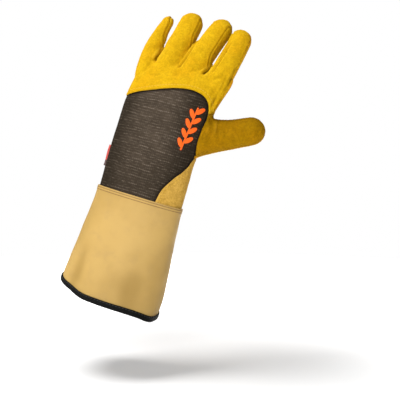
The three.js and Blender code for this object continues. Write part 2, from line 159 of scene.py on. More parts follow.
# Sections of the cuff: at is a share of WRIST_Z, flare goes from 0 at the wrist to 1 at the mouth.
CUFF_ROWS = table(
    "at flare",
    (0, 1),
    (0.14, 0.86),
    (0.36, 0.62),
    (0.6, 0.36),
    (0.8, 0.13),
    (0.9, 0.02),
    (0.96, 0),
    (1, 0),
)

# Height of the cuff's lower edge, as a share of MOUTH_DROP: at goes from -1, on the little finger's
# side, to 1, on the thumb's.
MOUTH_ROWS = table(
    "at rise",
    (-1, 1.4),
    (-0.75, 0.8),
    (-0.5, 0.34),
    (-0.27, -0.03),
    (0, -0.06),
    (0.35, -0.06),
    (0.6, -0.14),
    (0.8, -0.34),
    (1, -1),
)

# Soft dents: turn in degrees from +X round to the palm, at and height as shares of the cuff.
CUFF_DENTS = table(
    "turn at depth spread height",
    (0, 0, 4.3, 22, 0.1),
    (303, 0.19, 3.2, 15, 0.2),
    (236, 0.22, 2.6, 11, 0.3),
    (70, 0.28, 3, 18, 0.3),
    (130, 0.5, 1.8, 15, 0.26),
)

# Edge of the woven panel from its top left corner to its foot, as shares of PALM_WIDTH and PALM_LENGTH.
# The webs at the thumb below it are given the same way.
PANEL_EDGE = [
    (-0.7, 0.641), (-0.475, 0.67), (-0.19, 0.732), (0.09, 0.789), (0.29, 0.81), (0.42, 0.797),
    (0.494, 0.753), (0.516, 0.68), (0.508, 0.58), (0.497, 0.46), (0.487, 0.36), (0.455, 0.27),
    (0.37, 0.178), (0.3, 0.09), (0.272, 0),
]
# Edge of the strip below the thumb, from the cuff up, as shares of STRIP_WIDTH and PALM_LENGTH.
STRIP_EDGE = [(1, 0), (0.86, 0.13), (0.5, 0.26)]
CROTCH = (0.548, 0.705)
WEB_FOOT = (0.47, 0.655)
THUMB_FOOT = (0.44, 0.385)

# Leather in the narrow gaps between the fingers: low and high are its ends, as PANEL_EDGE's points are,
# and back is how far its middle lies towards the palm.
WEBS = table(
    "low high width depth back",
    ((-0.275, 0.94), (-0.206, 1.1), 9.5, 9.0, 3.0),
    ((0.04, 0.95), (0.152, 1.19), 8.5, 12.0, -2.0),
    ((0.3, 0.9), (0.374, 1.05), 9.0, 9.0, 2.0),
)

# Folds on the back and on the palm, as shares of PALM_WIDTH and PALM_LENGTH. Depth and width are in
# millimetres.
BACK, FRONT = -1, 1
FOLDS = table(
    "side depth width line",
    (BACK, 4.2, 2.3, [(-0.168, 1.1), (-0.195, 1.04), (-0.217, 0.995), (-0.24, 0.955)]),
    (BACK, 2.4, 1.4, [(0.18, 1.22), (0.125, 1.075), (0.084, 0.988), (0.055, 0.935)]),
    (BACK, 3.8, 2.0, [(0.396, 1.035), (0.38, 1.0), (0.36, 0.968), (0.336, 0.932)]),
    (BACK, 1.4, 1.2, [(0.55, 1.24), (0.508, 1.125), (0.458, 1.01), (0.42, 0.935)]),
    (BACK, 2.0, 1.3, [(0.67, 1.1), (0.645, 0.992), (0.608, 0.872), (0.545, 0.739)]),
    (BACK, 1.6, 1.4, [(0.615, 0.982), (0.578, 0.863), (0.54, 0.775), (0.52, 0.71)]),
    (BACK, 0.7, 2.4, [(-0.2, 0.95), (-0.262, 0.907), (-0.33, 0.84)]),
    (BACK, 0.75, 4.2, [(-0.27, 0.82), (-0.113, 0.869), (0.128, 0.9), (0.37, 0.905)]),
    (BACK, 0.5, 3.0, [(-0.22, 0.78), (0.025, 0.835), (0.246, 0.853), (0.413, 0.85)]),
    (BACK, 0.5, 2.2, [(0.087, 0.938), (0.076, 0.9), (0.03, 0.86)]),
    (BACK, 0.7, 2.6, [(0.4, 0.9), (0.5, 0.93), (0.6, 0.99)]),
    (BACK, 0.8, 3.0, [(0.55, 0.9), (0.53, 0.83), (0.53, 0.76)]),
    (BACK, 1.1, 2.2, [(0.5, 0.668), (0.565, 0.643), (0.606, 0.582), (0.595, 0.49)]),
    (BACK, 0.6, 1.8, [(0.6, 0.695), (0.66, 0.62), (0.66, 0.53)]),
    (BACK, 0.45, 2.0, [(0.72, 0.69), (0.76, 0.61), (0.75, 0.54)]),
    (BACK, 0.5, 2.0, [(0.5, 0.38), (0.6, 0.43), (0.7, 0.47)]),
    (FRONT, 1.5, 2.6, [(0.46, 0.74), (0.26, 0.62), (0.14, 0.42), (0.14, 0.18)]),
    (FRONT, 1.1, 2.4, [(0.5, 0.79), (0.2, 0.78), (-0.1, 0.7), (-0.4, 0.62)]),
    (FRONT, 1.0, 2.2, [(-0.45, 0.86), (-0.2, 0.83), (0.1, 0.9), (0.3, 0.94)]),
    (FRONT, 0.7, 2.2, [(-0.42, 0.42), (-0.2, 0.37), (0.0, 0.38)]),
    (FRONT, 0.6, 1.8, [(-0.4, 0.2), (-0.15, 0.14), (0.1, 0.16)]),
    (FRONT, 0.8, 2.0, [(0.62, 0.68), (0.56, 0.56), (0.44, 0.47), (0.36, 0.36)]),
    (FRONT, 0.6, 1.8, [(0.76, 0.68), (0.74, 0.57), (0.68, 0.47)]),
)
FOLD_LIP = 0.45  # height of the ridge beside a fold, as a share of its depth
FOLD_FADE = 0.3  # share of a fold's length over which each end runs out
JOINTS = (0.42, 0.68)  # where a finger bends, as shares of its length
JOINT_FOLDS = (-0.035, 0.0, 0.04)  # where the small folds of a joint lie beside it

# Soft lumps: height and size in millimetres.
LEATHER_LUMPS = table("height size seed", (0.55, 26, 1), (0.26, 9, 2), (0.1, 3.6, 3))
CUFF_LUMPS = table("height size seed", (0.7, 34, 5), (0.25, 13, 6))

PIECES = [
    "palm", "ring_front", "middle_front", "back_knuckles", "thumb_back", "thumb_strip",
    "fourchette_pinky_ring", "fourchette_ring_middle", "fourchette_middle_index", "back_panel",
]
PALM, RING_FRONT, MIDDLE_FRONT, KNUCKLES, THUMB_BACK, STRIP = range(6)
FORKS = (6, 7, 8)
PANEL = 9


def column(rows, name, at):
    """A column of a table at the given shares, along a smooth curve through its rows."""
    x = np.array([row["at"] for row in rows], float)
    y = np.array([row[name] for row in rows], float)
    slope = np.gradient(y, x)
    at = np.clip(at, x[0], x[-1])
    i = np.clip(np.searchsorted(x, at, side="right") - 1, 0, len(x) - 2)
    step = x[i + 1] - x[i]
    t = (at - x[i]) / step
    rise = (2 * t**3 - 3 * t**2 + 1) * y[i] + (3 * t**2 - 2 * t**3) * y[i + 1]
    return rise + step * ((t**3 - 2 * t**2 + t) * slope[i] + (t**3 - t**2) * slope[i + 1])


def section(turn, squareness):
    """Points of a rounded section, as shares of its half width and half depth."""
    c = np.cos(turn)
    s = np.sin(turn)
    power = 2 / squareness
    return np.sign(c) * np.abs(c) ** power, np.sign(s) * np.abs(s) ** power


def smoothstep(x, low, high):
    t = np.clip((x - low) / (high - low), 0, 1)
    return t * t * (3 - 2 * t)


def bell(x, width, middle=0.0):
    return np.exp(-((x - middle) / width) ** 2)


def unit(vectors):
    return vectors / np.maximum(1e-9, np.linalg.norm(vectors, axis=-1, keepdims=True))


def bow(z):
    """How far the hand's middle surface lies towards the palm at a height."""
    t = np.maximum(0, (z - WEB_Z + PALM_LENGTH / 6) / (FINGERS["middle"]["length"] * 0.9))
    return FINGER_BOW * t * t


def on_palm(share):
    return np.array([share[0] * PALM_WIDTH, WRIST_Z + share[1] * PALM_LENGTH])


def at_run(run, values, places):
    """Rows of values, known along a run, at other places of it."""
    return np.stack([np.interp(places, run, values[:, k]) for k in range(3)], -1)


def along_path(values, share):
    return at_run(np.linspace(0, 1, len(values)), values, share)


def run_along(points):
    """How far along a line each of its points lies."""
    return np.concatenate([[0], np.cumsum(np.linalg.norm(np.diff(points, axis=0), axis=1))])


def finger_path(finger):
    """The middle line of a finger in many equal steps, with its tangents."""
    steps = 200
    share = np.linspace(0, 1, steps + 1)
    lean = np.radians(finger["lean"] + (finger["tip_lean"] - finger["lean"]) * (share[1:] - 0.5 / steps))
    step = finger["length"] / steps
    start = on_palm((finger["across"], finger["up"]))
    x = start[0] + np.concatenate([[0], np.cumsum(np.sin(lean) * step)])
    z = start[1] + np.concatenate([[0], np.cumsum(np.cos(lean) * step)])
    y = THUMB_NEAR + (THUMB_FAR - THUMB_NEAR) * share if finger is THUMB else bow(z)
    points = np.stack([x, y, z], 1)
    run = run_along(points)
    even = np.linspace(0, run[-1], steps + 1)
    points = at_run(run, points, even)
    return points, unit(np.gradient(points, axis=0))


def grid_faces(rows, columns, round_rows=False, round_columns=False):
    """Quads over a grid of points in rows, which may close round on itself either way."""
    i = np.arange(rows if round_rows else rows - 1)[:, None]
    j = np.arange(columns if round_columns else columns - 1)[None]
    here = i * columns
    above = (i + 1) % rows * columns
    beside = (j + 1) % columns
    return np.stack([here + j, here + beside, above + beside, above + j], -1).reshape(-1, 4)


def loft(rings, tip=None):
    """Points and faces through rings of equally many points, closed by a fan at each end."""
    count, sides, _ = rings.shape
    end = rings[-1].mean(0) if tip is None else tip
    points = np.vstack([rings.reshape(-1, 3), rings[0].mean(0), end])
    faces = grid_faces(count, sides, round_columns=True).tolist()
    last = (count - 1) * sides
    for a in range(sides):
        b = (a + 1) % sides
        faces.append([count * sides, b, a])
        faces.append([count * sides + 1, last + a, last + b])
    return points, faces


def finger_form(finger):
    rows = THUMB_ROWS if finger is THUMB else FINGER_ROWS
    path, tangents = finger_path(finger)
    cap = finger["width"] * rows[-1]["width"] * (1 - finger["taper"] / 2) / 2 / finger["length"]
    body = np.linspace(0, 1 - cap, 60)[:-1]
    arc = np.linspace(0, math.pi / 2, 16)[:-1]
    share = np.concatenate([body, 1 - cap + cap * np.sin(arc)])
    size = np.concatenate([np.ones(len(body)), np.cos(arc)])
    size *= 1 - finger["taper"] * smoothstep(share, TAPER_START, 1)
    wide = finger["width"] / 2 * column(rows, "width", share) * size
    deep = finger["depth"] / 2 * column(rows, "depth", share) * size
    along = unit(along_path(tangents, share))
    across = unit(np.cross([0, 1, 0], along))
    down = np.cross(along, across)
    c, s = section(np.linspace(0, 2 * math.pi, FINGER_SIDES, endpoint=False), FINGER_SQUARENESS)
    rings = along_path(path, share)[:, None] + across[:, None] * (wide[:, None] * c)[..., None]
    return loft(rings + down[:, None] * (deep[:, None] * s)[..., None], path[-1])


def palm_form():
    at = np.linspace(-CUFF_OVERLAP / PALM_LENGTH - 0.03, 1, 110)
    names = ("width", "middle", "back", "front")
    width, middle, back, front = (column(PALM_ROWS, name, at)[:, None] for name in names)
    z = (WRIST_Z + at * PALM_LENGTH)[:, None]
    c, s = section(np.linspace(0, 2 * math.pi, BODY_SIDES, endpoint=False), BODY_SQUARENESS)
    x = middle * PALM_WIDTH + width * PALM_WIDTH / 2 * c
    y = bow(z) + np.where(s < 0, back, front) * PALM_DEPTH * s
    return loft(np.stack([x, y, np.broadcast_to(z, x.shape)], -1))


def web_form(web):
    """The leather that fills the narrow gap between two fingers."""
    share = np.linspace(0, 1, 24)[:, None]
    low, high = on_palm(web["low"]), on_palm(web["high"])
    place = low + (high - low) * share
    turn = np.linspace(0, 2 * math.pi, 24, endpoint=False)
    x = place[:, :1] + web["width"] / 2 * np.sqrt(1.02 - share) * np.cos(turn)
    y = bow(place[:, 1:]) + web["back"] + web["depth"] / 2 * np.sqrt(1.02 - share**3) * np.sin(turn)
    return loft(np.stack([x, y, np.broadcast_to(place[:, 1:], x.shape)], -1))


def link(name, data):
    """A new object in the scene."""
    made = bpy.data.objects.new(name, data)
    bpy.context.scene.collection.objects.link(made)
    return made


def new_mesh(name, points, faces):
    """A mesh object from points in millimetres."""
    mesh = bpy.data.meshes.new(name)
    mesh.from_pydata((np.asarray(points) * MM).tolist(), [], np.asarray(faces, dtype=object).tolist())
    mesh.validate()
    mesh.polygons.foreach_set("use_smooth", [True] * len(mesh.polygons))
    return link(name, mesh)


def joined_form():
    """One even skin round the hand and the fingers, as points and quads."""
    points = []
    faces = []
    forms = [finger_form(finger) for finger in [*LONG_FINGERS, THUMB]]
    forms += [palm_form(), *[web_form(web) for web in WEBS]]
    for some_points, some_faces in forms:
        start = len(points)
        points.extend(some_points.tolist())
        faces.extend([[start + v for v in face] for face in some_faces])
    mesh = bpy.data.meshes.new("form")
    mesh.from_pydata((np.array(points) * MM).tolist(), [], faces)
    form = link("form", mesh)
    remesh = form.modifiers.new("skin", "REMESH")
    remesh.mode = "VOXEL"
    remesh.voxel_size = VOXEL * MM
    skin = form.evaluated_get(bpy.context.evaluated_depsgraph_get()).to_mesh()
    co = np.zeros(len(skin.vertices) * 3, np.float32)
    skin.vertices.foreach_get("co", co)
    loops = np.zeros(len(skin.loops), np.int32)
    skin.loops.foreach_get("vertex_index", loops)
    bpy.data.objects.remove(form)
    return co.reshape(-1, 3).astype(float) / MM, loops.reshape(-1, 4).astype(np.int64)


def sides_of(quads):
    """The two ends of each side of each quad."""
    return np.concatenate([quads[:, [k, (k + 1) % 4]] for k in range(4)])


def edges_of(quads):
    return np.unique(np.sort(sides_of(quads), axis=1), axis=0)


def summed(index, values, count):
    """The sums of the rows of values that share an index."""
    return np.stack([np.bincount(index, part, count) for part in values.T], 1)


def neighbour_mean(points, edges):
    a, b = edges.T
    count = np.bincount(edges.ravel(), minlength=len(points))[:, None]
    total = summed(a, points[b], len(points)) + summed(b, points[a], len(points))
    return np.where(count > 0, total / np.maximum(1, count), points)


def normals_of(points, quads):
    a, b, c, d = (points[quads[:, k]] for k in range(4))
    facing = np.cross(c - a, d - b)
    return unit(sum(summed(quads[:, k], facing, len(points)) for k in range(4)))


def inside(polygon, x, z):
    """Which points lie inside an outline."""
    hit = np.zeros(len(x), bool)
    n = len(polygon)
    for i in range(n):
        (x0, z0), (x1, z1) = polygon[i], polygon[(i + 1) % n]
        crosses = (z0 > z) != (z1 > z)
        at = x0 + (z - z0) * (x1 - x0) / (z1 - z0 if z1 != z0 else 1e-9)
        hit ^= crosses & (x < at)
    return hit


def spline(points, count):
    """Points along a smooth curve through the given ones."""
    points = np.asarray(points, float)
    padded = np.vstack([2 * points[0] - points[1], points, 2 * points[-1] - points[-2]])
    at = np.linspace(0, len(points) - 1, count)
    i = np.minimum(at.astype(int), len(points) - 2)
    t = (at - i)[:, None]
    a, b, c, d = (padded[i + k] for k in range(4))
    return 0.5 * (2 * b + (c - a) * t + (2 * a - 5 * b + 4 * c - d) * t**2 + (3 * b - a - 3 * c + d) * t**3)


def panel_line(count=120):
    return spline([on_palm(share) for share in PANEL_EDGE], count)


def fork_outline(left, right):
    rims = []
    for finger, side in ((left, 1), (right, -1)):
        path, _ = finger_path(finger)
        high, reach = (0.99, 0.05) if finger is FINGERS["pinky"] else (0.93, 0.36)
        foot, rise, end = (along_path(path, share)[[0, 2]] for share in (0, high - 0.17, high))
        rims.append([foot, rise, end + [side * finger["width"] * reach, 0]])
    between = (rims[0][2] + rims[1][2]) / 2
    return rims[0] + [between] + rims[1][::-1]


def front_outline(finger, left_web, right_web):
    dip = WEB_Z - FRONT_DROP
    end = finger_path(finger)[0][-1]
    top = end[2] + finger["width"]
    third = (right_web - left_web) / 3
    low = spline([
        (left_web, WEB_Z - 2), (left_web + third * 0.7, dip + 1.5), ((left_web + right_web) / 2, dip),
        (right_web - third * 0.7, dip + 1.5), (right_web, WEB_Z - 2),
    ], 24)
    return list(low) + [(end[0] + finger["width"] * 0.75, top), (end[0] - finger["width"] * 0.75, top)]


def label_faces(centres):
    """Which piece each face of the hand's skin belongs to."""
    x, y, z = centres.T
    seam_y = math.sin(SEAM_TURN) * x + math.cos(SEAM_TURN) * y - bow(z)
    thumb_path = finger_path(THUMB)[0]
    root, tip = thumb_path[0], thumb_path[-1]
    crotch, web_foot, thumb_foot = on_palm(CROTCH), on_palm(WEB_FOOT), on_palm(THUMB_FOOT)
    high = tip[2] + THUMB["width"]
    thumb_zone = inside([
        thumb_foot, (FAR, thumb_foot[1]), (FAR, high), (crotch[0] + THUMB["width"], high), crotch, web_foot,
    ], x, z)
    slope = (tip[1] - root[1]) / (tip[0] - root[0])
    thumb_front = y > root[1] + (x - root[0]) * slope
    side, low = PALM_WIDTH * 0.495, WRIST_Z - 30
    strip_line = spline([
        (side - STRIP_WIDTH, low),
        *[(side - STRIP_WIDTH * across, WRIST_Z + PALM_LENGTH * up) for across, up in STRIP_EDGE],
        (thumb_foot[0] + 1, thumb_foot[1] - 3),
    ], 60)
    strip_zone = inside(list(strip_line) + [(FAR, thumb_foot[1] - 3), (FAR, low)], x, z)
    palmar = np.where(thumb_zone, thumb_front, seam_y > 0) & ~strip_zone
    line = panel_line()
    panel_zone = inside(list(line) + [(line[-1][0], 0), (-FAR, 0), (-FAR, line[0][1])], x, z)
    panel_zone &= y < THUMB_NEAR - 1
    above = inside([
        (-FAR, web_foot[1]), web_foot, crotch, (FAR, crotch[1] + FAR), (FAR, 2 * FAR), (-FAR, 2 * FAR),
    ], x, z)
    labels = np.where(palmar, PALM, np.where(panel_zone, PANEL, np.where(above, KNUCKLES, THUMB_BACK)))
    labels[~palmar & ~panel_zone & strip_zone] = STRIP
    pairs = (("pinky", "ring"), ("ring", "middle"), ("middle", "index"))
    webs = []
    for left, right in pairs:
        roots = [along_path(finger_path(FINGERS[name])[0], 0.36)[0] for name in (left, right)]
        webs.append(sum(roots) / 2)
    for name, piece, web in (("ring", RING_FRONT, webs[:2]), ("middle", MIDDLE_FRONT, webs[1:])):
        outline = front_outline(FINGERS[name], *web)
        labels[(labels == PALM) & (y > 0) & inside(outline, x, z)] = piece
    for (left, right), piece in zip(pairs, FORKS):
        zone = inside(fork_outline(FINGERS[left], FINGERS[right]), x, z)
        web_z = z[zone & (np.abs(seam_y) < 1.5)].min()
        reach = FORK_WIDTH / 2 * (0.08 + 0.92 * smoothstep(z, web_z + 0.5, web_z + FORK_RISE))
        labels[zone & (np.abs(seam_y) < reach)] = piece
    return labels


def tidy_labels(labels, edge_faces):
    """Gives stray faces to the piece that most of their neighbours belong to."""
    for _ in range(4):
        votes = np.zeros((len(labels), len(PIECES)))
        np.add.at(votes, (edge_faces[:, 0], labels[edge_faces[:, 1]]), 1)
        np.add.at(votes, (edge_faces[:, 1], labels[edge_faces[:, 0]]), 1)
        own = votes[np.arange(len(labels)), labels]
        change = votes.max(1) > np.maximum(own, 2)
        labels = np.where(change, votes.argmax(1), labels)
    return labels


def join_islands(labels, edge_faces):
    """Gives each small island of faces to the piece that it borders most."""
    while True:
        same = edge_faces[labels[edge_faces[:, 0]] == labels[edge_faces[:, 1]]]
        island = np.arange(len(labels))
        changed = True
        while changed:
            low = island.copy()
            np.minimum.at(low, same[:, 0], island[same[:, 1]])
            np.minimum.at(low, same[:, 1], island[same[:, 0]])
            low = low[low]
            changed = (low != island).any()
            island = low
        small = np.bincount(island, minlength=len(labels))[island] < ISLAND_FACES
        if not small.any():
            return labels
        own = island[small][0]
        pairs = np.concatenate([edge_faces, edge_faces[:, ::-1]])
        beside = pairs[(island[pairs[:, 0]] == own) & (island[pairs[:, 1]] != own), 1]
        labels = np.where(island == own, np.bincount(labels[beside]).argmax(), labels)


def face_pairs(quads):
    """Pairs of faces that share an edge, with the edges."""
    owner = np.tile(np.arange(len(quads)), 4)
    key = np.sort(sides_of(quads), axis=1)
    order = np.lexsort((key[:, 1], key[:, 0]))
    key = key[order]
    owner = owner[order]
    same = (key[1:] == key[:-1]).all(1)
    first = np.nonzero(same)[0]
    return np.stack([owner[first], owner[first + 1]], 1), key[first]


def hand_skin():
    """The hand's smooth skin with a piece for each face."""
    points, quads = joined_form()
    edges = edges_of(quads)
    for _ in range(SKIN_ROUNDS):
        points = points + 0.5 * (neighbour_mean(points, edges) - points)
        points = points - 0.52 * (neighbour_mean(points, edges) - points)
    roots = [along_path(finger_path(finger)[0], 0.33) for finger in LONG_FINGERS]
    corners = [((a + b) / 2, 9) for a, b in zip(roots, roots[1:])]
    crotch, foot = on_palm(CROTCH), on_palm(THUMB_FOOT)
    corners += [((crotch[0] + 3, 4, crotch[1] - 2), 19), ((foot[0] + 6, 5, foot[1] + 4), 16)]
    weight = np.zeros(len(points))
    for corner, reach in corners:
        weight = np.maximum(weight, bell(np.linalg.norm(points - corner, axis=1), reach))
    for _ in range(CORNER_ROUNDS):
        points = points + 0.5 * weight[:, None] * (neighbour_mean(points, edges) - points)
    points, quads = only_used(points, quads[points[quads].mean(1)[:, 2] > WRIST_Z - CUFF_OVERLAP + 1])
    labels = label_faces(points[quads].mean(1))
    neighbours, shared = face_pairs(quads)
    labels = join_islands(tidy_labels(labels, neighbours), neighbours)
    rims = shared[labels[neighbours[:, 0]] != labels[neighbours[:, 1]]]
    ends = np.bincount(rims.ravel(), minlength=len(points))
    edges = edges_of(quads)
    border = np.setdiff1d(np.arange(len(points)), np.unique(shared))
    free = ends == 0
    free[border] = False
    for _ in range(EDGE_ROUNDS):
        normal = normals_of(points, quads)
        pull = neighbour_mean(points, rims) - points
        pull[ends != 2] = 0
        pull -= (pull * normal).sum(1)[:, None] * normal
        relax = neighbour_mean(points, edges) - points
        relax[~free] = 0
        relax -= (relax * normal).sum(1)[:, None] * normal
        points = points + 0.5 * pull + 0.3 * relax
    return points, quads, labels


def only_used(points, quads):
    """Leaves out the points that no face uses."""
    used = np.unique(quads)
    renumber = np.full(len(points), -1)
    renumber[used] = np.arange(len(used))
    return points[used], renumber[quads]


def distance_to(points, targets, reach):
    """Distance from each point to the nearest target, up to a reach."""
    away = np.full(len(points), reach)
    if len(targets) == 0:
        return away
    tree = KDTree(len(targets))
    for i, target in enumerate(targets):
        tree.insert(target, i)
    tree.balance()
    low = targets.min(0) - reach
    high = targets.max(0) + reach
    for i in np.nonzero(((points > low) & (points < high)).all(1))[0]:
        away[i] = min(reach, tree.find(points[i])[2])
    return away


def shell(points, quads, thickness):
    """Closes a sheet into a wall that goes inwards from it."""
    normal = normals_of(points, quads)
    count = len(points)
    both = np.vstack([points, points - normal * thickness])
    sides = sides_of(quads)
    _, where, times = np.unique(np.sort(sides, axis=1), axis=0, return_index=True, return_counts=True)
    rim = sides[where[times == 1]]
    walls = np.stack([rim[:, 1], rim[:, 0], rim[:, 0] + count, rim[:, 1] + count], 1)
    faces = np.vstack([quads, quads[:, ::-1] + count, walls])
    return both, faces


def rumple(points, size, seed):
    """Soft noise from -1 to 1 at each point, with lumps of a size in millimetres."""
    shift = Vector((seed * 17.3, seed * 5.1, seed * 9.7))
    return np.array([noise.noise(Vector(p) / size + shift) for p in points])


def lumps_at(points, rows):
    return sum(row["height"] * rumple(points, row["size"], row["seed"]) for row in rows)


def set_values(made, name, values):
    layer = made.data.attributes.new(name, "FLOAT", "POINT")
    layer.data.foreach_set("value", np.asarray(values, np.float32))


def line_distance(points, line):
    """Distance in X and Z from each point to a line, and the share along it of the nearest place."""
    x, z = points[:, 0], points[:, 2]
    nearest = np.full(len(points), 1e9)
    share = np.zeros(len(points))
    steps = len(line) - 1
    for i in range(steps):
        start, step = line[i], line[i + 1] - line[i]
        length = max(1e-9, float(step @ step))
        t = np.clip(((x - start[0]) * step[0] + (z - start[1]) * step[1]) / length, 0, 1)
        away = np.hypot(x - start[0] - t * step[0], z - start[1] - t * step[1])
        closer = away < nearest
        nearest[closer] = away[closer]
        share[closer] = (i + t[closer]) / steps
    return nearest, share


def crease(points, normal, height, side, line, depth, width):
    """Adds a fold along a line in X and Z on the back (side -1) or the palm (side 1)."""
    line = spline(line, 14)
    flat = points[:, [0, 2]]
    near = ((flat > line.min(0) - width * 4) & (flat < line.max(0) + width * 4)).all(1)
    near = np.nonzero(near & (side * normal[:, 1] > 0.02))[0]
    away, share = line_distance(points[near], line)
    ends = smoothstep(np.minimum(share, 1 - share), 0, FOLD_FADE)
    facing = smoothstep(side * normal[near, 1], 0.02, 0.45)
    height[near] += depth * ends * facing * (FOLD_LIP * bell(away, width, 2 * width) - bell(away, width))


def finish_piece(made, nodes, material):
    made.data.materials.clear()
    made.data.materials.append(material)
    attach(made, "root")
    if nodes:
        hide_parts(*nodes)


# Materials


class Nodes:
    """A tree of shader nodes. A value is a number, a colour, a vector or another node's output."""

    def __init__(self, owner):
        owner.use_nodes = True
        self.owner = owner
        self.tree = owner.node_tree

    def put(self, socket, value):
        if isinstance(value, bpy.types.NodeSocket):
            self.tree.links.new(value, socket)
        else:
            socket.default_value = (*value, 1) if socket.type == "RGBA" else value

    def add(self, kind, values, output=0, **settings):
        """One output of a new node."""
        made = self.tree.nodes.new(kind)
        for name, value in settings.items():
            setattr(made, name, value)
        for socket, value in values.items():
            self.put(made.inputs[socket], value)
        return made.outputs[output]

    def place(self, stretch=(1, 1, 1)):
        """The place on the model in metres, times a stretch."""
        here = self.add("ShaderNodeTexCoord", {}, "Object")
        return self.add("ShaderNodeMapping", {"Vector": here, "Scale": stretch})

    def along(self, axis):
        return self.add("ShaderNodeSeparateXYZ", {"Vector": self.place()}, axis)

    def cloud(self, scale, detail=3.0, rough=0.5, stretch=(1, 1, 1)):
        """Noise with a scale in lumps per metre."""
        return self.add("ShaderNodeTexNoise", {
            "Vector": self.place(stretch), "Scale": scale, "Detail": detail, "Roughness": rough,
        })

    def bands(self, direction, scale, distortion=0.0):
        values = {"Vector": self.place(), "Scale": scale, "Distortion": distortion}
        return self.add("ShaderNodeTexWave", values, "Fac", bands_direction=direction)

    def attribute(self, name):
        return self.add("ShaderNodeAttribute", {}, "Fac", attribute_name=name)

    def ramp(self, value, low, high, out_low=0.0, out_high=1.0):
        return self.add("ShaderNodeMapRange", {
            "Value": value, "From Min": low, "From Max": high, "To Min": out_low, "To Max": out_high,
        }, clamp=True, interpolation_type="SMOOTHSTEP")

    def maths(self, how, first, second=0.0):
        return self.add("ShaderNodeMath", {0: first, 1: second}, operation=how)

    def times(self, first, second):
        return self.maths("MULTIPLY", first, second)

    def total(self, first, *parts):
        """The first value with the products of the other pairs."""
        for share, value in parts:
            first = self.maths("ADD", first, self.times(value, share))
        return first

    def layers(self, colour, *layers):
        """A colour with others laid over it, each at its share."""
        for share, other in layers:
            colour = self.add("ShaderNodeMix", {0: share, 6: colour, 7: other}, 2, data_type="RGBA")
        return colour

    def bump(self, height, distance, strength=0.5):
        return self.add("ShaderNodeBump", {"Height": height, "Distance": distance, "Strength": strength})

    def surface(self, values):
        """The finished material."""
        for socket, value in values.items():
            self.put(self.tree.nodes["Principled BSDF"].inputs[socket], value)
        return self.owner


def new_material(name):
    return Nodes(bpy.data.materials.new(name))


def suede(name, base, blotch, shade, blotch_share=0.55, nap=1.0):
    """Napped leather, mottled and brushed, with painted shade in folds and seams and a painted highlight on
    ridges.
    """
    nodes = new_material(name)
    middle = nodes.cloud(110, 5, 0.66)
    fine = nodes.cloud(420, 4, 0.72)
    folded = nodes.attribute("relief")
    # pale is both the painted highlight on the ridges and the sheen's tint; deep is the painted shade.
    pale = tuple(min(1, 1.12 * part + 0.01) for part in base)
    deep = tuple(0.3 * part for part in shade)
    colour = nodes.layers(
        base,
        (nodes.ramp(nodes.cloud(30, 4, 0.62), 0.4, 0.66, 0, blotch_share), blotch),
        (nodes.ramp(middle, 0.4, 0.74, 0, 0.55), shade),
        (nodes.ramp(fine, 0.36, 0.68, 0, 0.66), shade),
        # Painted highlight on the ridges, painted shade in the folds and in the grooves of seams and
        # stitching.
        (nodes.ramp(folded, 0.25, 1.1, 0, 0.5), pale),
        (nodes.ramp(folded, -0.55, -2.3, 0, 0.85), deep),
        (nodes.ramp(nodes.attribute("seam"), 0.1, 1.1, 0.16, 0), deep),
        (nodes.attribute("inner"), (0.5, 0.36, 0.16)),
    )
    height = nodes.total(middle, (0.6, fine), (0.3, nodes.cloud(2400, 2, 0.6)))
    return nodes.surface({
        "Base Color": colour,
        "Roughness": nodes.ramp(middle, 0.3, 0.7, 0.82, 0.97),
        "Sheen Weight": 0.1,
        "Sheen Roughness": 0.6,
        "Sheen Tint": pale,
        "Specular IOR Level": 0.04,
        "Normal": nodes.bump(height, 0.0012 * nap, 0.7),
    })


ROW_PITCH = 0.0033  # metres between the rows of dashes in the cloth
STRONG_PITCH = 0.0092  # metres between the bands where the dashes show most


